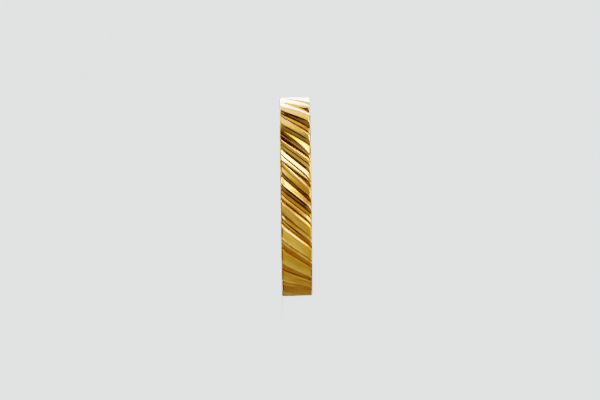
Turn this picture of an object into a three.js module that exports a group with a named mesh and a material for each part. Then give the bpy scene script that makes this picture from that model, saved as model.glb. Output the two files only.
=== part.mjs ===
// A plain band ring in yellow gold, its outside carved with slanted, uneven flutes.
// Millimetres, +Z up. The ring lies on its side: its axis is +Z, the origin is the middle
// of the rim that it lies on, and the folds in the table below are those that face -Y.
import * as THREE from "three";
import { mergeVertices } from "three/addons/utils/BufferGeometryUtils.js";

// Driving sizes of the band.
const OUTSIDE_DIAMETER = 19.7;
const BORE_DIAMETER = 16.9;
const WIDTH = 3.0;

// Rounding of the outside's two edges, and of the bore's.
const RIM_ROUND = 0.2;
const BORE_ROUND = 0.16;
const BORE_CROWN = 0.06; // how much wider the bore is at its mouths than halfway through
const RIM_STEPS = 2;
const MOUTH_STEPS = 1;
const STATIONS_ACROSS = [0.2, 0.35, 0.5, 0.65, 0.8]; // shares of the width, on the carved outside

// The folds of half a turn, a row for each ridge or groove. `low` and `high` are where the fold
// is near the lower rim and near the upper one, in degrees round from the middle of the side
// that faces -Y, more towards -X being larger, as they look from that side. `dipLow` and
// `dipHigh` are millimetres below the outside diameter at the same two places.
const FOLDS = [
  { low: 80.0, high: 66.4, dipLow: 0.2, dipHigh: 0.2 },
  { low: 78.6, high: 64.9, dipLow: 0.03, dipHigh: 0.03 },
  { low: 70.4, high: 61.2, dipLow: 0.05, dipHigh: 0.05 },
  { low: 67.8, high: 56.4, dipLow: 0.08, dipHigh: 0.27 },
  { low: 66.8, high: 55.4, dipLow: 0.07, dipHigh: 0.14 },
  { low: 64.2, high: 53.6, dipLow: 0.05, dipHigh: 0.06 },
  { low: 58.5, high: 48.1, dipLow: 0.05, dipHigh: 0.06 },
  { low: 53.5, high: 42.6, dipLow: 0.29, dipHigh: 0.41 },
  { low: 52.4, high: 40.4, dipLow: 0.3, dipHigh: 0.41 },
  { low: 50.9, high: 38.3, dipLow: 0.38, dipHigh: 0.46 },
  { low: 50.7, high: 37.9, dipLow: 0.04, dipHigh: 0.05 },
  { low: 45.3, high: 34.0, dipLow: 0.05, dipHigh: 0.06 },
  { low: 40.9, high: 29.9, dipLow: 0.32, dipHigh: 0.32 },
  { low: 40.2, high: 26.4, dipLow: 0.34, dipHigh: 0.14 },
  { low: 37.9, high: 25.8, dipLow: 0.45, dipHigh: 0.11 },
  { low: 36.9, high: 24.6, dipLow: 0.47, dipHigh: 0.22 },
  { low: 36.2, high: 23.6, dipLow: 0.46, dipHigh: 0.19 },
  { low: 33.2, high: 21.5, dipLow: 0.52, dipHigh: 0.25 },
  { low: 33.0, high: 21.2, dipLow: 0.05, dipHigh: 0.06 },
  { low: 30.6, high: 18.9, dipLow: 0.06, dipHigh: 0.07 },
  { low: 29.6, high: 17.8, dipLow: 0.12, dipHigh: 0.12 },
  { low: 28.2, high: 15.6, dipLow: 0.12, dipHigh: 0.11 },
  { low: 26.2, high: 13.5, dipLow: 0.22, dipHigh: 0.22 },
  { low: 23.9, high: 10.9, dipLow: 0.08, dipHigh: 0.07 },
  { low: 22.7, high: 9.6, dipLow: 0.12, dipHigh: 0.2 },
  { low: 20.8, high: 8.6, dipLow: 0.05, dipHigh: 0.17 },
  { low: 20.4, high: 6.8, dipLow: 0.05, dipHigh: 0.3 },
  { low: 19.3, high: 5.6, dipLow: 0.12, dipHigh: 0.34 },
  { low: 18.8, high: 5.0, dipLow: 0.11, dipHigh: 0.28 },
  { low: 17.3, high: 3.9, dipLow: 0.11, dipHigh: 0.25 },
  { low: 16.2, high: 3.0, dipLow: 0.15, dipHigh: 0.27 },
  { low: 13.4, high: 0.6, dipLow: 0.12, dipHigh: 0.22 },
  { low: 10.3, high: -2.5, dipLow: 0.31, dipHigh: 0.39 },
  { low: 6.6, high: -5.2, dipLow: 0.07, dipHigh: 0.07 },
  { low: 2.9, high: -8.8, dipLow: 0.31, dipHigh: 0.31 },
  { low: 1.2, high: -10.6, dipLow: 0.26, dipHigh: 0.27 },
  { low: 0.4, high: -11.4, dipLow: 0.31, dipHigh: 0.32 },
  { low: -0.6, high: -12.5, dipLow: 0.25, dipHigh: 0.24 },
  { low: -1.6, high: -13.7, dipLow: 0.2, dipHigh: 0.18 },
  { low: -3.0, high: -15.2, dipLow: 0.31, dipHigh: 0.33 },
  { low: -4.2, high: -16.6, dipLow: 0.18, dipHigh: 0.22 },
  { low: -9.2, high: -22.0, dipLow: 0.06, dipHigh: 0.07 },
  { low: -11.0, high: -23.0, dipLow: 0.19, dipHigh: 0.14 },
  { low: -12.4, high: -24.6, dipLow: 0.13, dipHigh: 0.07 },
  { low: -13.9, high: -26.5, dipLow: 0.15, dipHigh: 0.12 },
  { low: -15.2, high: -27.2, dipLow: 0.15, dipHigh: 0.13 },
  { low: -16.4, high: -28.8, dipLow: 0.25, dipHigh: 0.33 },
  { low: -17.5, high: -30.1, dipLow: 0.12, dipHigh: 0.24 },
  { low: -24.3, high: -36.4, dipLow: 0.107, dipHigh: 0.117 },
  { low: -24.9, high: -37.0, dipLow: 0.07, dipHigh: 0.08 },
  { low: -25.9, high: -38.0, dipLow: 0.14, dipHigh: 0.15 },
  { low: -27.2, high: -39.2, dipLow: 0.08, dipHigh: 0.09 },
  { low: -30.2, high: -42.0, dipLow: 0.15, dipHigh: 0.14 },
  { low: -31.2, high: -43.0, dipLow: 0.25, dipHigh: 0.22 },
  { low: -32.2, high: -44.0, dipLow: 0.19, dipHigh: 0.185 },
  { low: -40.2, high: -50.6, dipLow: 0.1, dipHigh: 0.11 },
  { low: -40.8, high: -51.2, dipLow: 0.06, dipHigh: 0.07 },
  { low: -45.0, high: -54.2, dipLow: 0.16, dipHigh: 0.14 },
  { low: -46.4, high: -55.6, dipLow: 0.24, dipHigh: 0.2 },
  { low: -47.4, high: -56.6, dipLow: 0.18, dipHigh: 0.15 },
  { low: -55.3, high: -61.9, dipLow: 0.11, dipHigh: 0.11 },
  { low: -56.0, high: -62.6, dipLow: 0.06, dipHigh: 0.07 },
  { low: -58.0, high: -64.4, dipLow: 0.13, dipHigh: 0.11 },
  { low: -60.2, high: -66.8, dipLow: 0.08, dipHigh: 0.07 },
  { low: -69.4, high: -73.4, dipLow: 0.07, dipHigh: 0.07 },
  { low: -72.6, high: -76.0, dipLow: 0.15, dipHigh: 0.13 },
  { low: -74.6, high: -78.2, dipLow: 0.06, dipHigh: 0.05 },
  { low: -82.0, high: -86.8, dipLow: 0.07, dipHigh: 0.07 },
  { low: -84.6, high: -89.4, dipLow: 0.18, dipHigh: 0.18 },
  { low: -87.0, high: -91.8, dipLow: 0.04, dipHigh: 0.05 },
  { low: -90.2, high: -100.0, dipLow: 0.06, dipHigh: 0.06 },
  { low: -91.6, high: -101.8, dipLow: 0.15, dipHigh: 0.15 },
  { low: -93.0, high: -103.2, dipLow: 0.05, dipHigh: 0.05 },
  { low: -96.6, high: -108.6, dipLow: 0.06, dipHigh: 0.07 },
];
const HALF_TURN = 180; // the rows above repeat on the far half
const FOLD_REACH = 1.2; // how far the two places of a row are from the middle of the width

// Folds run straight over the middle of the width, and bend aside by this much towards a rim.
const RIM_SWEEP = 1.2;
const SWEEP_FROM = 0.9;

// Beyond the first angle the side is seen too steeply to say more of how deep a fold lies, and
// at the second one it isn't seen at all.
const STEEPEST_SEEN = 70;
const SIDE_EDGE = 90;

// Each corner between two faces is cut back on both sides by this many degrees.
const CORNER_EASE = 0.28;
const EASE_AT_MOST = 0.4; // and by no more than this share of the face

const outsideRadius = OUTSIDE_DIAMETER / 2;
const boreRadius = BORE_DIAMETER / 2;

// The deeper a fold lies, the lower down the side it looks. This gives the angle where it is.
function angleRoundAxis(seen, dip) {
  const { clamp, degToRad, radToDeg } = THREE.MathUtils;
  const slope = Math.tan(degToRad(clamp(seen, -STEEPEST_SEEN, STEEPEST_SEEN)));
  const fade = clamp((SIDE_EDGE - Math.abs(seen)) / (SIDE_EDGE - STEEPEST_SEEN), 0, 1);
  return seen + radToDeg((dip / outsideRadius) * slope) * fade;
}

// How many degrees a fold bends aside at this distance from the middle of the width.
function sweepAt(fromMiddle) {
  const nearRim = Math.max(0, Math.abs(fromMiddle) - SWEEP_FROM) / (WIDTH / 2 - SWEEP_FROM);
  return Math.sign(fromMiddle) * RIM_SWEEP * nearRim ** 2;
}

// The folds in order round the whole ring at one height: { angle, dip }.
function cornersAt(height) {
  const fromMiddle = height - WIDTH / 2;
  const reached = fromMiddle / FOLD_REACH;
  const share = (reached + 1) / 2;
  const bend = sweepAt(fromMiddle) - sweepAt(FOLD_REACH) * reached;
  const corners = [];
  for (const turned of [0, -HALF_TURN]) {
    for (const { low, high, dipLow, dipHigh } of FOLDS) {
      const lowAngle = angleRoundAxis(low, dipLow);
      const highAngle = angleRoundAxis(high, dipHigh);
      const angle = THREE.MathUtils.lerp(lowAngle, highAngle, share) - bend + turned;
      corners.push({ angle, dip: THREE.MathUtils.lerp(dipLow, dipHigh, share) });
    }
  }
  return corners;
}

// Every corner becomes two stations, one on each side of it, so that no edge is knife-sharp.
function easedStations(corners) {
  const between = (from, to, share) => ({
    angle: THREE.MathUtils.lerp(from.angle, to.angle, share),
    dip: THREE.MathUtils.lerp(from.dip, to.dip, share),
  });
  const stations = [];
  corners.forEach((corner, index) => {
    const before = { ...corners[(index + corners.length - 1) % corners.length] };
    const after = { ...corners[(index + 1) % corners.length] };
    if (index === 0) before.angle += 2 * HALF_TURN;
    if (index === corners.length - 1) after.angle -= 2 * HALF_TURN;
    const easeTo = (other) => {
      return Math.min(EASE_AT_MOST, CORNER_EASE / Math.abs(corner.angle - other.angle));
    };
    stations.push(between(corner, before, easeTo(before)));
    stations.push(between(corner, after, easeTo(after)));
  });
  return stations;
}

// A quarter circle of the given radius in `steps` steps, from one side of a corner to the other.
function roundedCorner(radius, steps) {
  return Array.from({ length: steps + 1 }, (_, step) => {
    const turn = (step / steps) * (Math.PI / 2);
    return { inward: radius * (1 - Math.cos(turn)), back: radius * (1 - Math.sin(turn)) };
  });
}

// The band's section as { radius, height, carved } going once round it. `carved` is 1 where the
// flutes cut into it and 0 on the bore.
function bandSection() {
  const section = [];
  const rim = roundedCorner(RIM_ROUND, RIM_STEPS);
  const mouth = roundedCorner(BORE_ROUND, MOUTH_STEPS);
  for (const { inward, back } of [...rim].reverse()) {
    section.push({ radius: outsideRadius - inward, height: back, carved: 1 });
  }
  for (const share of STATIONS_ACROSS) {
    section.push({ radius: outsideRadius, height: share * WIDTH, carved: 1 });
  }
  for (const { inward, back } of rim) {
    section.push({ radius: outsideRadius - inward, height: WIDTH - back, carved: 1 });
  }
  for (const { inward, back } of [...mouth].reverse()) {
    const radius = boreRadius + BORE_CROWN + inward;
    section.push({ radius, height: WIDTH - back, carved: 0 });
  }
  section.push({ radius: boreRadius, height: WIDTH / 2, carved: 0 });
  for (const { inward, back } of mouth) {
    section.push({ radius: boreRadius + BORE_CROWN + inward, height: back, carved: 0 });
  }
  return section;
}

// A turned blank of the section, whose points are then moved to the flutes' stations.
function flutedBand() {
  const section = bandSection();
  const stationsOf = section.map(({ height }) => easedStations(cornersAt(height)));
  const around = stationsOf[0].length;
  const outline = [...section, section[0]].map(({ radius, height }) => {
    return new THREE.Vector2(radius, height);
  });
  const band = new THREE.LatheGeometry(outline, around);
  const points = band.attributes.position;
  for (let index = 0; index < points.count; index += 1) {
    const place = (index % outline.length) % section.length;
    const { radius, height, carved } = section[place];
    const { angle, dip } = stationsOf[place][Math.floor(index / outline.length) % around];
    const turn = THREE.MathUtils.degToRad(angle);
    const reach = radius - carved * dip;
    points.setXYZ(index, -reach * Math.sin(turn), -reach * Math.cos(turn), height);
  }
  band.deleteAttribute("normal");
  band.deleteAttribute("uv");
  const closed = mergeVertices(band);
  closed.computeVertexNormals();
  return closed;
}

const gold = new THREE.MeshStandardMaterial({ color: 0xd9a441, roughness: 0.12, metalness: 1 });

const band = new THREE.Mesh(flutedBand(), gold);
band.name = "fluted_band";

const ring = new THREE.Group();
ring.add(band);

export default ring;
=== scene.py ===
# A gold band ring with slanted flutes lies on its side on a pale floor, in soft studio light.
import math
import random
from collections import namedtuple

import bpy
from mathutils import Matrix, Vector, noise


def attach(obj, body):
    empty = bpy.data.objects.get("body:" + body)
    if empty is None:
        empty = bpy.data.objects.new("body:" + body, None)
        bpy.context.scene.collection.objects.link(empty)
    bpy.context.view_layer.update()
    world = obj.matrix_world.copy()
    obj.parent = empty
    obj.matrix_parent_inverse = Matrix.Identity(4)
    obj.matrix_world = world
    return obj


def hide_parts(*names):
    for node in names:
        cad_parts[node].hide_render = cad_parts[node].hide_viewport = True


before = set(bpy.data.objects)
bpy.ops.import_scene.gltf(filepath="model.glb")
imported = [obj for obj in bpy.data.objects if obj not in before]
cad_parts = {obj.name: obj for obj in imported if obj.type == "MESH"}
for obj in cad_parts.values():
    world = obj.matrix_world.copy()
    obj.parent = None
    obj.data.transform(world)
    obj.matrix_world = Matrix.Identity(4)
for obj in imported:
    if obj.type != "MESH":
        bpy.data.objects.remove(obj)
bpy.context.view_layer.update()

MM = 0.001
NODE = "fluted_band"

# The band's sizes, in millimetres.
OUTSIDE_RADIUS = 9.85
BORE_RADIUS = 8.45
WIDTH = 3.0
RIM_ROUND = 0.2
BORE_ROUND = 0.16
BORE_CROWN = 0.06

# The folds of half a turn, a row for each ridge or groove. Angles are in degrees up from the
# middle of the side that faces -Y, as they look from there: where the fold is near the lower
# rim, and where it is near the upper one. Dips are millimetres below the outside radius there.
Fold = namedtuple("Fold", "low high dip_low dip_high curl hollow", defaults=(0.0, 0.0))
FOLDS = [Fold(*row) for row in (
    (80.0, 66.4, 0.20, 0.20),
    (78.6, 64.9, 0.03, 0.03),
    (70.4, 61.2, 0.05, 0.05, 0.6),
    (67.8, 56.4, 0.08, 0.27),
    (66.8, 55.4, 0.07, 0.14),
    (64.2, 53.6, 0.05, 0.06),
    (58.5, 48.1, 0.05, 0.06, 0.45),
    (53.5, 42.6, 0.29, 0.41),
    (52.4, 40.4, 0.30, 0.41),
    (50.9, 38.3, 0.38, 0.46),
    (50.7, 37.9, 0.04, 0.05),
    (45.3, 34.0, 0.05, 0.06, 0.45),
    (40.9, 29.9, 0.32, 0.32),
    (40.2, 26.4, 0.34, 0.14),
    (37.9, 25.8, 0.45, 0.11, 0.3),
    (36.9, 24.6, 0.47, 0.22),
    (36.2, 23.6, 0.46, 0.19, 0.4),
    (33.2, 21.5, 0.52, 0.25),
    (33.0, 21.2, 0.05, 0.06),
    (30.6, 18.9, 0.06, 0.07),
    (29.6, 17.8, 0.12, 0.12),
    (28.2, 15.6, 0.12, 0.11),
    (26.2, 13.5, 0.22, 0.22),
    (23.9, 10.9, 0.08, 0.07),
    (22.7, 9.6, 0.12, 0.20, 0.0, -0.014),
    (20.8, 8.6, 0.05, 0.17),
    (20.4, 6.8, 0.05, 0.30),
    (19.3, 5.6, 0.12, 0.34),
    (18.8, 5.0, 0.11, 0.28),
    (17.3, 3.9, 0.11, 0.25),
    (16.2, 3.0, 0.15, 0.27),
    (13.4, 0.6, 0.12, 0.22, 1.0),
    (10.3, -2.5, 0.31, 0.39, 0.0, 0.01),
    (6.6, -5.2, 0.07, 0.07, 1.0),
    (2.9, -8.8, 0.31, 0.31),
    (1.2, -10.6, 0.26, 0.27),
    (0.4, -11.4, 0.31, 0.32),
    (-0.6, -12.5, 0.25, 0.24),
    (-1.6, -13.7, 0.20, 0.18),
    (-3.0, -15.2, 0.31, 0.33),
    (-4.2, -16.6, 0.18, 0.22),
    (-9.2, -22.0, 0.06, 0.07),
    (-11.0, -23.0, 0.19, 0.14),
    (-12.4, -24.6, 0.13, 0.07),
    (-13.9, -26.5, 0.15, 0.12),
    (-15.2, -27.2, 0.15, 0.13),
    (-16.4, -28.8, 0.25, 0.33),
    (-17.5, -30.1, 0.12, 0.24, 0.0, 0.015),
    (-24.3, -36.4, 0.107, 0.117),
    (-24.9, -37.0, 0.07, 0.08),
    (-25.9, -38.0, 0.14, 0.15),
    (-27.2, -39.2, 0.08, 0.09),
    (-30.2, -42.0, 0.15, 0.14),
    (-31.2, -43.0, 0.25, 0.22),
    (-32.2, -44.0, 0.19, 0.185, 0.0, 0.02),
    (-40.2, -50.6, 0.10, 0.11),
    (-40.8, -51.2, 0.06, 0.07),
    (-45.0, -54.2, 0.16, 0.14),
    (-46.4, -55.6, 0.24, 0.20),
    (-47.4, -56.6, 0.18, 0.15, 0.0, 0.015),
    (-55.3, -61.9, 0.11, 0.11),
    (-56.0, -62.6, 0.06, 0.07),
    (-58.0, -64.4, 0.13, 0.11),
    (-60.2, -66.8, 0.08, 0.07, 0.0, 0.012),
    (-69.4, -73.4, 0.07, 0.07),
    (-72.6, -76.0, 0.15, 0.13),
    (-74.6, -78.2, 0.06, 0.05),
    (-82.0, -86.8, 0.07, 0.07),
    (-84.6, -89.4, 0.18, 0.18),
    (-87.0, -91.8, 0.04, 0.05),
    (-90.2, -100.0, 0.06, 0.06),
    (-91.6, -101.8, 0.15, 0.15),
    (-93.0, -103.2, 0.05, 0.05),
    (-96.6, -108.6, 0.06, 0.07),
)]
HALF_TURN = 180.0
FOLD_REACH = 1.2
RIM_SWEEP = 1.2
SWEEP_FROM = 0.9
STEEPEST_SEEN = 70.0
SIDE_EDGE = 90.0

# How far each corner is rounded on both sides, in degrees, and the stations that this takes.
RIDGE_ROUND = 0.42
GROOVE_ROUND = 0.2
ROUND_AT_MOST = 0.42
ROUND_STEPS = 4
FACE_STEPS = 7

# How uneven the polished faces are.
RIPPLE_DEPTH = 0.004
RIPPLE_ROUND = 0.55
RIPPLE_ACROSS = 1.4

ACROSS_STEPS = 26
RIM_STEPS = 6
MOUTH_STEPS = 4
BORE_STEPS = 4

# The photo's frame and the ring in it, in pixels.
PICTURE_WIDTH = 600
PICTURE_HEIGHT = 400
RING_CENTRE = (296.0, 196.75)
RING_HALF_HEIGHT = 99.75
RING_LEAN = 0.75
CAMERA_DISTANCE = 25.0  # in outside radii
CAMERA_LIFT = 0.0


def sweep(from_middle):
    """Degrees that a fold bends aside near a rim, at this many millimetres from mid-width."""
    near = max(0.0, abs(from_middle) - SWEEP_FROM) / (WIDTH / 2 - SWEEP_FROM)
    return math.copysign(RIM_SWEEP * near**2, from_middle)


def angle_round_axis(seen, dip):
    """A fold looks lower down the side than it is, the deeper it lies. This gives where it is."""
    slope = math.tan(math.radians(max(-STEEPEST_SEEN, min(STEEPEST_SEEN, seen))))
    fade = max(0.0, min(1.0, (SIDE_EDGE - abs(seen)) / (SIDE_EDGE - STEEPEST_SEEN)))
    return seen + math.degrees(dip / OUTSIDE_RADIUS * slope) * fade


def corners_at(height):
    """The folds all round the ring at this height, as (angle, dip, curl, hollow)."""
    from_middle = height - WIDTH / 2
    share = (from_middle / FOLD_REACH + 1) / 2
    bend = sweep(from_middle) - sweep(FOLD_REACH) * from_middle / FOLD_REACH
    corners = []
    for turned in (0.0, -HALF_TURN):
        for fold in FOLDS:
            low = angle_round_axis(fold.low, fold.dip_low)
            high = angle_round_axis(fold.high, fold.dip_high)
            angle = low + (high - low) * share - bend
            dip = fold.dip_low + (fold.dip_high - fold.dip_low) * share
            corners.append((angle + turned, dip, fold.curl, fold.hollow))
    return corners


def profile_at(height):
    """The rounded profile round the ring at this height, as (angle, dip, on_ridge) stations. On_ridge is 1 on the
    top of a ridge and 0 elsewhere; the gold gets a painted highlight and wear there."""
    corners = corners_at(height)
    count = len(corners)
    ends = []
    for index, (angle, dip, curl, hollow) in enumerate(corners):
        before = corners[index - 1]
        after = corners[(index + 1) % count]
        if index == 0:
            before = (before[0] + 2 * HALF_TURN, before[1])
        if index == count - 1:
            after = (after[0] - 2 * HALF_TURN, after[1])
        ridge = dip < (before[1] + after[1]) / 2
        reach = RIDGE_ROUND if ridge else GROOVE_ROUND
        start_share = min(ROUND_AT_MOST, reach / abs(before[0] - angle))
        end_share = min(ROUND_AT_MOST, reach / abs(after[0] - angle))
        start = (angle + (before[0] - angle) * start_share, dip + (before[1] - dip) * start_share)
        end = (angle + (after[0] - angle) * end_share, dip + (after[1] - dip) * end_share)
        ends.append((start, (angle, dip), end, ridge, curl, hollow))
    stations = []
    for index, (start, corner, end, ridge, curl, hollow) in enumerate(ends):
        for step in range(ROUND_STEPS + 1):
            t = step / ROUND_STEPS
            weights = ((1 - t) ** 2, 2 * t * (1 - t), t**2)
            round_angle, round_dip = (
                sum(w * p[axis] for w, p in zip(weights, (start, corner, end))) for axis in (0, 1)
            )
            stations.append((round_angle, round_dip, math.sin(math.pi * t) if ridge else 0.0))
        following = ends[(index + 1) % count][0]
        if index == count - 1:
            following = (following[0] - 2 * HALF_TURN, following[1])
        for step in range(1, FACE_STEPS):
            t = step / FACE_STEPS
            curled = t + curl * (t * t * (3 - 2 * t) - t)
            stations.append((
                end[0] + (following[0] - end[0]) * t,
                end[1] + (following[1] - end[1]) * curled + 4 * hollow * t * (1 - t),
                0.0,
            ))
    return stations


def quarter_round(radius, steps):
    """(inward, back) from one side of a rounded edge to the other."""
    turns = [math.pi / 2 * step / steps for step in range(steps + 1)]
    return [(radius * (1 - math.cos(t)), radius * (1 - math.sin(t))) for t in turns]


def band_section():
    """The section once round, as (radius, height, carved)."""
    section = []
    rim = quarter_round(RIM_ROUND, RIM_STEPS)
    mouth = quarter_round(BORE_ROUND, MOUTH_STEPS)
    for inward, back in reversed(rim):
        section.append((OUTSIDE_RADIUS - inward, back, True))
    low, high = RIM_ROUND, WIDTH - RIM_ROUND
    for step in range(1, ACROSS_STEPS):
        share = (1 - math.cos(math.pi * step / ACROSS_STEPS)) / 2
        section.append((OUTSIDE_RADIUS, low + (high - low) * share, True))
    for inward, back in rim:
        section.append((OUTSIDE_RADIUS - inward, WIDTH - back, True))
    for inward, back in reversed(mouth):
        section.append((BORE_RADIUS + BORE_CROWN + inward, WIDTH - back, False))
    for step in range(1, BORE_STEPS):
        height = WIDTH - BORE_ROUND - (WIDTH - 2 * BORE_ROUND) * step / BORE_STEPS
        crown = BORE_CROWN * (abs(height - WIDTH / 2) / (WIDTH / 2 - BORE_ROUND)) ** 2
        section.append((BORE_RADIUS + crown, height, False))
    for inward, back in mouth:
        section.append((BORE_RADIUS + BORE_CROWN + inward, back, False))
    return section


def ripple(along, across):
    """The slight unevenness that hand polishing leaves, in millimetres, long along the flutes."""
    slow = noise.noise(Vector((along / RIPPLE_ROUND, across / RIPPLE_ACROSS, 0.5)))
    fast = noise.noise(Vector((2.7 * along / RIPPLE_ROUND, 1.9 * across / RIPPLE_ACROSS, 7.5)))
    return RIPPLE_DEPTH * (slow + 0.4 * fast)


def build_band():
    points, depths, ridge_tops, flutes = [], [], [], []
    section = band_section()
    middle = [angle for angle, dip, on_ridge in profile_at(WIDTH / 2)]
    for radius, height, carved in section:
        for number, (angle, dip, on_ridge) in enumerate(profile_at(height)):
            flute = math.radians(middle[number]) * OUTSIDE_RADIUS
            if carved:
                dip += ripple(flute, height)
            reach = (radius - dip if carved else radius) * MM
            turn = math.radians(angle)
            points.append((-reach * math.sin(turn), -reach * math.cos(turn), height * MM))
            depths.append(dip if carved else 0.0)
            ridge_tops.append(on_ridge if carved else 0.0)
            flutes.append((flute, height, radius))
    around = len(points) // len(section)
    faces = []
    for row in range(len(section)):
        below = row * around
        above = (row + 1) % len(section) * around
        for station in range(around):
            following = (station + 1) % around
            faces.append((below + station, below + following, above + following, above + station))
    mesh = bpy.data.meshes.new("gold_ring")
    mesh.from_pydata(points, [], faces)
    mesh.validate()
    mesh.update()
    # Fold depth sets the painted shade in the folds; ridge tops carry the painted highlight and wear.
    mesh.attributes.new("fold_depth", "FLOAT", "POINT").data.foreach_set("value", depths)
    mesh.attributes.new("ridge_top", "FLOAT", "POINT").data.foreach_set("value", ridge_tops)
    flat = [value for place in flutes for value in place]
    mesh.attributes.new("flute_place", "FLOAT_VECTOR", "POINT").data.foreach_set("vector", flat)
    mesh.shade_smooth()
    band = bpy.data.objects.new("gold_ring", mesh)
    bpy.context.scene.collection.objects.link(band)
    return band


# The gold's colours: polished; a deeper tone in random patches; a browner painted shade, like gold reflecting
# gold, halfway down a fold; a dark painted shade in the bottom of a groove; and a paler tone on a ridge's rounded
# top, partly wear and partly a painted highlight.
GOLD = (0.96, 0.50, 0.09)
GOLD_WORN = (0.79, 0.36, 0.032)
GOLD_FOLD_SHADE = (0.70, 0.28, 0.018)
GOLD_GROOVE_SHADE = (0.26, 0.09, 0.006)
GOLD_RIDGE_SHEEN_AND_WEAR = (1.0, 0.60, 0.20)
GOLD_INSIDE = (0.96, 0.53, 0.12)
INSIDE_FROM, INSIDE_FULL = 9.1, 8.7
LOW_FROM, LOW_FULL = 0.12, 0.30
DEEP_FROM, DEEP_FULL = 0.29, 0.42
RIDGE_SHEEN_AND_WEAR_AT_MOST = 0.55
SMOOTHEST, DULLEST = 0.055, 0.17


def stretched(nodes, links, place, stretch, turn, offset):
    """Texture coordinates from a place in millimetres, stretched, turned and moved."""
    mapping = nodes.new("ShaderNodeMapping")
    links.new(place, mapping.inputs["Vector"])
    mapping.inputs["Scale"].default_value = stretch
    mapping.inputs["Rotation"].default_value = (0.0, 0.0, math.radians(turn))
    mapping.inputs["Location"].default_value = offset
    return mapping.outputs["Vector"]


def cloud(nodes, links, place, scale, detail, rough=0.5):
    texture = nodes.new("ShaderNodeTexNoise")
    links.new(place, texture.inputs["Vector"])
    texture.inputs["Scale"].default_value = scale
    texture.inputs["Detail"].default_value = detail
    texture.inputs["Roughness"].default_value = rough
    return texture.outputs["Fac"]


def times(nodes, links, first, second, operation="MULTIPLY"):
    """A sum, product or the like of two numbers, each a socket or a plain number."""
    result = nodes.new("ShaderNodeMath")
    result.operation = operation
    for socket, value in zip(result.inputs, (first, second)):
        if isinstance(value, float):
            socket.default_value = value
        else:
            links.new(value, socket)
    return result.outputs[0]


def bumped(nodes, links, height, distance, strength, normal=None):
    bump = nodes.new("ShaderNodeBump")
    links.new(height, bump.inputs["Height"])
    bump.inputs["Distance"].default_value = distance
    bump.inputs["Strength"].default_value = strength
    if normal:
        links.new(normal, bump.inputs["Normal"])
    return bump.outputs["Normal"]


def gold_material():
    material = bpy.data.materials.new("polished_gold")
    material.use_nodes = True
    nodes, links = material.node_tree.nodes, material.node_tree.links
    shader = nodes["Principled BSDF"]
    shader.inputs["Metallic"].default_value = 1.0

    def attribute(name, output):
        node = nodes.new("ShaderNodeAttribute")
        node.attribute_name = name
        return node.outputs[output]

    depth = attribute("fold_depth", "Fac")
    ridge = attribute("ridge_top", "Fac")
    place = attribute("flute_place", "Vector")

    # Polishing marks run along the flutes; hairline scratches run every way.
    marks = cloud(nodes, links, stretched(nodes, links, place, (1.0, 0.10, 1.0), 0, (0, 0, 0)), 16.0, 3.0)
    patches = cloud(nodes, links, stretched(nodes, links, place, (1.0, 0.45, 1.0), 0, (5, 1, 0)), 1.6, 4.0)
    hair = cloud(nodes, links, stretched(nodes, links, place, (1.0, 0.04, 1.0), 63, (2, 7, 0)), 26.0, 1.0)
    cross = cloud(nodes, links, stretched(nodes, links, place, (1.0, 0.05, 1.0), -38, (9, 4, 0)), 22.0, 1.0)
    scratch = smooth_share(nodes, links, hair, 0.66, 0.74)
    crossing = smooth_share(nodes, links, cross, 0.67, 0.75)
    scratches = times(nodes, links, scratch, crossing, "MAXIMUM")

    # Painted shade: the gold turns browner halfway down each fold and dark at a groove's bottom, by fold depth,
    # with random patches moving where it begins.
    depth_jitter = times(nodes, links, patches, 0.12)
    jittered_depth = times(nodes, links, depth, times(nodes, links, depth_jitter, -0.06, "ADD"), "ADD")
    colour = mixed(nodes, links, smooth_share(nodes, links, patches, 0.38, 0.62), GOLD_WORN, GOLD)
    colour = mixed(nodes, links, smooth_share(nodes, links, jittered_depth, LOW_FROM, LOW_FULL), colour, GOLD_FOLD_SHADE)
    colour = mixed(nodes, links, smooth_share(nodes, links, jittered_depth, DEEP_FROM, DEEP_FULL), colour, GOLD_GROOVE_SHADE)
    # Painted highlight, with wear: the rounded ridge tops turn paler gold in random patches.
    ridge_sheen_and_wear = times(nodes, links, ridge, smooth_share(nodes, links, patches, 0.30, 0.62))
    colour = mixed(nodes, links, times(nodes, links, ridge_sheen_and_wear, RIDGE_SHEEN_AND_WEAR_AT_MOST), colour, GOLD_RIDGE_SHEEN_AND_WEAR)
    split = nodes.new("ShaderNodeSeparateXYZ")
    links.new(place, split.inputs[0])
    inside = smooth_share(nodes, links, split.outputs["Z"], INSIDE_FROM, INSIDE_FULL)
    colour = mixed(nodes, links, inside, colour, GOLD_INSIDE)
    links.new(colour, shader.inputs["Base Color"])

    dull = smooth_share(nodes, links, marks, 0.35, 0.75)
    dull = times(nodes, links, dull, 0.45)
    dull = times(nodes, links, dull, times(nodes, links, scratches, 0.35), "ADD")
    dull = times(nodes, links, dull, smooth_share(nodes, links, jittered_depth, LOW_FROM, DEEP_FULL), "ADD")
    roughness = times(nodes, links, dull, DULLEST - SMOOTHEST)
    roughness = times(nodes, links, roughness, SMOOTHEST, "ADD")
    links.new(roughness, shader.inputs["Roughness"])

    normal = bumped(nodes, links, patches, 0.016 * MM, 1.0)
    normal = bumped(nodes, links, marks, 0.0013 * MM, 1.0, normal)
    normal = bumped(nodes, links, scratches, 0.0006 * MM, 1.0, normal)
    links.new(normal, shader.inputs["Normal"])
    return material


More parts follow.
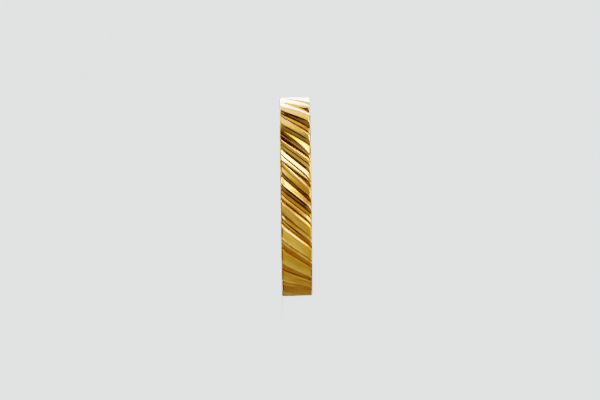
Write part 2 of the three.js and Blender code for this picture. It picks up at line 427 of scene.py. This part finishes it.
def aim_camera():
    """A camera level with the ring and edge-on to it, rolled so that the ring stands up."""
    camera = bpy.data.objects.new("camera", bpy.data.cameras.new("camera"))
    bpy.context.scene.collection.objects.link(camera)
    bpy.context.scene.camera = camera
    radius = OUTSIDE_RADIUS * MM
    distance = CAMERA_DISTANCE * radius
    edge = math.asin(1 / CAMERA_DISTANCE)
    focal_pixels = RING_HALF_HEIGHT / math.tan(edge)
    camera.data.sensor_width = 36.0
    camera.data.lens = focal_pixels / PICTURE_WIDTH * camera.data.sensor_width
    lift = math.radians(CAMERA_LIFT)
    middle = Vector((0, 0, WIDTH * MM / 2))
    back = Vector((0, -math.cos(lift), math.sin(lift)))
    camera.location = middle + back * distance
    roll = math.radians(90 + RING_LEAN)
    right = Vector((-math.cos(roll), 0, math.sin(roll)))
    right = (right - back * right.dot(back)).normalized()
    up = back.cross(right)
    camera.matrix_world = Matrix.Translation(camera.location) @ Matrix((right, up, back)).transposed().to_4x4()
    camera.data.shift_x = (PICTURE_WIDTH / 2 - RING_CENTRE[0]) / PICTURE_WIDTH
    camera.data.shift_y = (RING_CENTRE[1] - PICTURE_HEIGHT / 2) / PICTURE_WIDTH
    camera.data.clip_start = 0.001
    camera.data.clip_end = 10.0


# Soft lights far away, a row each: the direction that the light comes from, the angle out to
# which it is even, the angle where it ends, and its colour.
Glow = namedtuple("Glow", "name x y z even end red green blue")
GLOWS = [Glow(*row) for row in (
    ("roof_window_back", -0.94, 0.02, 0.33, 8, 14, 12.0, 11.6, 15.0),
    ("roof_window", -0.90, -0.18, 0.40, 6, 13, 11.8, 11.5, 24.5),
    ("roof_window_front", -0.77, -0.46, 0.44, 5, 11, 11.2, 10.8, 24.5),
    ("front_roof", -0.62, -0.48, 0.62, 6, 24, 1.35, 1.1, 2.2),
    ("front_panel", -0.62, -0.72, 0.32, 4, 16, 1.35, 1.0, 1.9),
    ("back_window", -0.50, 0.87, 0.0, 9, 24, 10.8, 10.3, 15.0),
    ("near_wall", -0.90, 0.42, 0.0, 12, 44, 1.65, 1.4, 2.05),
    ("front", -0.34, -0.94, 0.0, 35, 100, 0.38, 0.40, 0.48),
    ("far_wall", 0.94, -0.34, 0.0, 15, 55, 0.33, 0.37, 0.36),
    ("far_room", 0.0, 0.85, 0.5, 10, 40, 0.7, 0.6, 0.6),
    ("front_window", -0.05, -0.74, 0.67, 9, 20, 4.5, 4.0, 9.3),
    ("side_window", -0.33, -0.50, 0.80, 8, 15, 5.8, 5.3, 12.0),
    ("ceiling", 0.0, 0.0, 1.0, 22, 50, 1.3, 1.3, 1.8),
    ("under_back", 0.72, 0.69, 0.0, 8, 38, 0.12, 0.08, 0.0),
    ("room", 0.0, 0.0, 1.0, 90, 180, 0.15, 0.13, 0.07),
)]

# The floor as the gold reflects it, by the height of the direction looked at: dark where the
# ring shades it, then cooler and lighter, and light again close by. It is warm on the far side.
Band = namedtuple("Band", "top bottom")
FLOOR_EDGE = Band(-0.28, -0.36)
FLOOR_LIGHTER = Band(-0.50, -0.60)
FLOOR_CLOSE = Band(-0.92, -0.97)
EDGE_COLOUR = (0.045, 0.027, 0.014)
LIGHTER_COLOUR = (0.235, 0.31, 0.67)
CLOSE_COLOUR = (1.3, 1.2, 1.1)
WARM_COLOUR = (0.30, 0.22, 0.095)
WARM_FROM = Band(0.76, 0.92)
FAR_COLOUR = (2.4, 2.3, 2.8)
FAR_FROM = Band(0.22, 0.50)
EDGE_RISE = 0.28
SOFT_LIGHT = (1.76, 1.93, 1.87)
SOFT_FROM = (-0.15, -0.60, 0.78)
SOFT_LEAST = 0.2
FLOOR_TONE = 0.8
FLOOR_SHADES = (0.985, 1.015)
FLOOR_GRAIN = 900.0  # a metre


def glow_colour(nodes, links, direction, glow):
    towards = nodes.new("ShaderNodeVectorMath")
    towards.operation = "DOT_PRODUCT"
    links.new(direction, towards.inputs[0])
    towards.inputs[1].default_value = Vector((glow.x, glow.y, glow.z)).normalized()
    share = smooth_share(nodes, links, towards.outputs["Value"],
                         math.cos(math.radians(glow.end)), math.cos(math.radians(glow.even)))
    colour = nodes.new("ShaderNodeVectorMath")
    colour.operation = "SCALE"
    colour.inputs[0].default_value = (glow.red, glow.green, glow.blue)
    links.new(share, colour.inputs["Scale"])
    return colour.outputs["Vector"]


def smooth_share(nodes, links, value, start, end):
    """0 where the value is at the start, 1 where it is at the end, and smooth between."""
    share = nodes.new("ShaderNodeMapRange")
    share.interpolation_type = "SMOOTHSTEP"
    links.new(value, share.inputs["Value"])
    share.inputs["From Min"].default_value = start
    share.inputs["From Max"].default_value = end
    return share.outputs["Result"]


def mixed(nodes, links, share, first, second):
    """A colour between two, each of which is a socket or a plain colour."""
    mix = nodes.new("ShaderNodeMix")
    mix.data_type = "RGBA"
    links.new(share, mix.inputs["Factor"])
    for socket, colour in ((mix.inputs[6], first), (mix.inputs[7], second)):
        if isinstance(colour, tuple):
            socket.default_value = (*colour, 1.0)
        else:
            links.new(colour, socket)
    return mix.outputs[2]


def added(nodes, links, first, second):
    total = nodes.new("ShaderNodeVectorMath")
    total.operation = "ADD"
    links.new(first, total.inputs[0])
    links.new(second, total.inputs[1])
    return total.outputs["Vector"]


def light_room():
    world = bpy.data.worlds.new("studio")
    bpy.context.scene.world = world
    world.use_nodes = True
    nodes, links = world.node_tree.nodes, world.node_tree.links
    nodes.clear()
    direction = nodes.new("ShaderNodeTexCoord").outputs["Generated"]
    room = glow_colour(nodes, links, direction, GLOWS[0])
    for glow in GLOWS[1:]:
        room = added(nodes, links, room, glow_colour(nodes, links, direction, glow))
    split = nodes.new("ShaderNodeSeparateXYZ")
    links.new(direction, split.inputs[0])
    x, y, z = split.outputs["X"], split.outputs["Y"], split.outputs["Z"]
    away = nodes.new("ShaderNodeMath")
    away.operation = "MAXIMUM"
    links.new(x, away.inputs[0])
    away.inputs[1].default_value = 0.0
    height = nodes.new("ShaderNodeMath")
    height.operation = "MULTIPLY_ADD"
    links.new(away.outputs[0], height.inputs[0])
    height.inputs[1].default_value = -EDGE_RISE
    links.new(z, height.inputs[2])
    lighter = smooth_share(nodes, links, z, FLOOR_LIGHTER.top, FLOOR_LIGHTER.bottom)
    floor = mixed(nodes, links, lighter, EDGE_COLOUR, LIGHTER_COLOUR)
    warm = smooth_share(nodes, links, x, WARM_FROM.top, WARM_FROM.bottom)
    floor = mixed(nodes, links, warm, floor, WARM_COLOUR)
    behind = times(nodes, links, y, times(nodes, links, away.outputs[0], 1.3), "SUBTRACT")
    far = smooth_share(nodes, links, behind, FAR_FROM.top, FAR_FROM.bottom)
    floor = mixed(nodes, links, far, floor, FAR_COLOUR)
    close = smooth_share(nodes, links, z, FLOOR_CLOSE.top, FLOOR_CLOSE.bottom)
    floor = mixed(nodes, links, close, floor, CLOSE_COLOUR)
    edge = smooth_share(nodes, links, height.outputs[0], FLOOR_EDGE.top, FLOOR_EDGE.bottom)
    total = mixed(nodes, links, edge, room, floor)
    lit = nodes.new("ShaderNodeBackground")
    links.new(total, lit.inputs["Color"])
    seen = nodes.new("ShaderNodeBackground")
    seen.inputs["Color"].default_value = (*SOFT_LIGHT, 1.0)
    seen.inputs["Strength"].default_value = FLOOR_TONE
    soft = nodes.new("ShaderNodeBackground")
    soft.inputs["Color"].default_value = (*SOFT_LIGHT, 1.0)
    links.new(soft_strength(nodes, links, direction), soft.inputs["Strength"])
    path = nodes.new("ShaderNodeLightPath")
    shown = chosen(nodes, links, path.outputs["Is Glossy Ray"], soft, lit)
    shown = chosen(nodes, links, path.outputs["Is Camera Ray"], shown, seen)
    output = nodes.new("ShaderNodeOutputWorld")
    links.new(shown.outputs[0], output.inputs["Surface"])
    world.cycles.sampling_method = "NONE"


def soft_strength(nodes, links, direction):
    """Light for the floor, stronger from one side, that lights open floor as evenly as 1 would."""
    source = Vector(SOFT_FROM).normalized()
    facing = nodes.new("ShaderNodeVectorMath")
    facing.operation = "DOT_PRODUCT"
    links.new(direction, facing.inputs[0])
    facing.inputs[1].default_value = source
    narrowed = times(nodes, links, facing.outputs["Value"], 4.0, "POWER")
    upright, level = source.z**2, 1 - source.z**2
    on_floor = upright**2 / 3 + upright * level / 2 + level**2 / 8
    most = (1 - SOFT_LEAST) / on_floor
    return times(nodes, links, times(nodes, links, narrowed, most), SOFT_LEAST, "ADD")


def chosen(nodes, links, share, first, second):
    mix = nodes.new("ShaderNodeMixShader")
    links.new(share, mix.inputs["Fac"])
    links.new(first.outputs[0], mix.inputs[1])
    links.new(second.outputs[0], mix.inputs[2])
    return mix


def lay_floor():
    mesh = bpy.data.meshes.new("floor")
    half = 2.0
    mesh.from_pydata([(-half, -half, 0), (half, -half, 0), (half, half, 0), (-half, half, 0)], [], [(0, 1, 2, 3)])
    floor = bpy.data.objects.new("floor", mesh)
    bpy.context.scene.collection.objects.link(floor)
    material = bpy.data.materials.new("pale_floor")
    material.use_nodes = True
    nodes, links = material.node_tree.nodes, material.node_tree.links
    nodes.clear()
    matt = nodes.new("ShaderNodeBsdfDiffuse")
    place = nodes.new("ShaderNodeTexCoord").outputs["Object"]
    grain = cloud(nodes, links, place, FLOOR_GRAIN, 3.0)
    tones = [(FLOOR_TONE * share,) * 3 for share in FLOOR_SHADES]
    links.new(mixed(nodes, links, grain, *tones), matt.inputs["Color"])
    output = nodes.new("ShaderNodeOutputMaterial")
    links.new(matt.outputs[0], output.inputs["Surface"])
    mesh.materials.append(material)
    floor.visible_glossy = False
    return floor


scene = bpy.context.scene
scene.view_settings.view_transform = "Filmic"
scene.view_settings.look = "Medium High Contrast"

aim_camera()
band = build_band()
band.data.materials.append(gold_material())
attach(band, "root")
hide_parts(NODE)
light_room()
floor = lay_floor()
